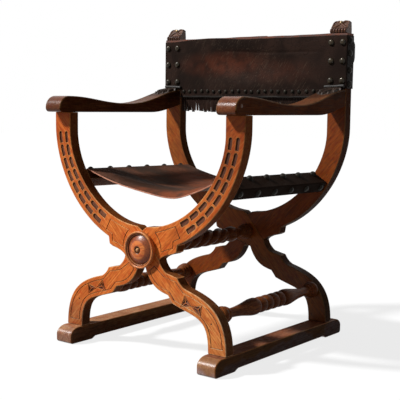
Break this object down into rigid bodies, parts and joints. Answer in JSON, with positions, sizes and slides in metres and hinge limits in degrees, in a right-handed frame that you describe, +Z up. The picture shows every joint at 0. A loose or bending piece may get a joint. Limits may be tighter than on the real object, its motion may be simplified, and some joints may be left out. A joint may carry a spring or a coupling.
{
  "type": "throne chair",
  "caption": "Cross-frame armchair of carved oak with lapped curved legs on runners, turned stretchers, dished arms, a leather sling seat and a nailed leather back with a fringe.",
  "frame": {"origin": "on the floor, at the middle of the chair's length and width", "axes": "+Z up, +Y from the front of the chair to its back, +X to the right as seen from the front"},
  "size_m": [0.6796, 0.628, 0.93],
  "materials": {
    "oak": "waxed, satin",
    "dark_oak": "dark stain, satin",
    "polished_oak": "polished",
    "seat_leather": "worn, waxed",
    "back_leather": "worn, waxed",
    "nail": "dark patina"
  },
  "bodies": {
    "root": {"back_band": "back_leather", "back_fringe": "back_leather", "back_leather": "back_leather", "centre_stretcher": "dark_oak", "front_cross_leg_left": "oak", "front_cross_leg_right": "oak", "front_rosette": "polished_oak", "left_arm": "oak", "left_arm_plug": "dark_oak", "left_back_nail_1": "nail", "left_back_nail_2": "nail", "left_back_nail_3": "nail", "left_back_nail_4": "nail", "left_back_nail_5": "nail", "left_back_nail_6": "nail", "left_runner": "oak", "left_seat_rail": "dark_oak", "left_seat_side_nail_1": "nail", "left_seat_side_nail_2": "nail", "left_seat_side_nail_3": "nail", "left_seat_side_nail_4": "nail", "left_seat_side_nail_5": "nail", "left_seat_side_nail_6": "nail", "left_seat_top_nail_1": "nail", "left_seat_top_nail_2": "nail", "left_seat_top_nail_3": "nail", "left_seat_top_nail_4": "nail", "left_seat_top_nail_5": "nail", "left_seat_top_nail_6": "nail", "left_side_stretcher": "dark_oak", "rear_cross_leg_left": "oak", "rear_cross_leg_right": "oak", "right_arm": "oak", "right_arm_plug": "dark_oak", "right_back_nail_1": "nail", "right_back_nail_2": "nail", "right_back_nail_3": "nail", "right_back_nail_4": "nail", "right_back_nail_5": "nail", "right_back_nail_6": "nail", "right_runner": "oak", "right_seat_rail": "dark_oak", "right_seat_side_nail_1": "nail", "right_seat_side_nail_2": "nail", "right_seat_side_nail_3": "nail", "right_seat_side_nail_4": "nail", "right_seat_side_nail_5": "nail", "right_seat_side_nail_6": "nail", "right_seat_top_nail_1": "nail", "right_seat_top_nail_2": "nail", "right_seat_top_nail_3": "nail", "right_seat_top_nail_4": "nail", "right_seat_top_nail_5": "nail", "right_seat_top_nail_6": "nail", "right_side_stretcher": "dark_oak", "rosette_pin": "dark_oak", "seat_leather": "seat_leather"}
  },
  "joints": []
}
